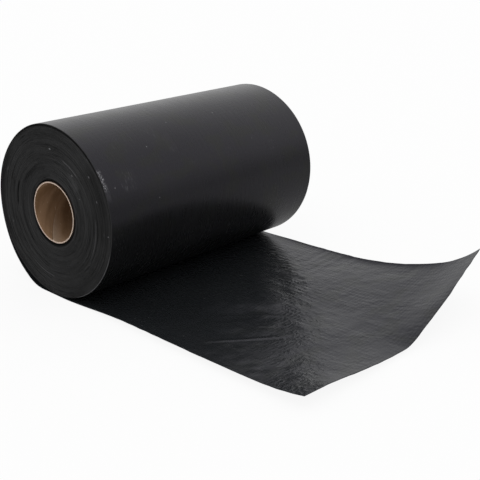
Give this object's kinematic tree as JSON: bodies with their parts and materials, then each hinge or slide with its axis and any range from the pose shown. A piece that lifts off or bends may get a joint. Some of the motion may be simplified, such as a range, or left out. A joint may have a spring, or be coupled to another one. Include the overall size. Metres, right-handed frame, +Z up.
{
  "type": "roll of damp proof course",
  "caption": "Embossed black polythene damp proof strip wound on a cardboard tube, its loose tail run out over the floor; bedded in a wall's mortar to stop rising damp.",
  "frame": {"origin": "on the floor, on the strip's flat underside, directly below the middle of the roll's axis", "axes": "+Y along the bore of the tube, +X the way the tail runs out, +Z up"},
  "size_m": [0.4155, 0.3021, 0.1775],
  "materials": {
    "polythene": "satin, finely embossed",
    "cardboard": "spiral-wound kraft paper, matt"
  },
  "bodies": {
    "root": {"dpc_sheet": "polythene", "core_tube": "cardboard"}
  },
  "joints": []
}
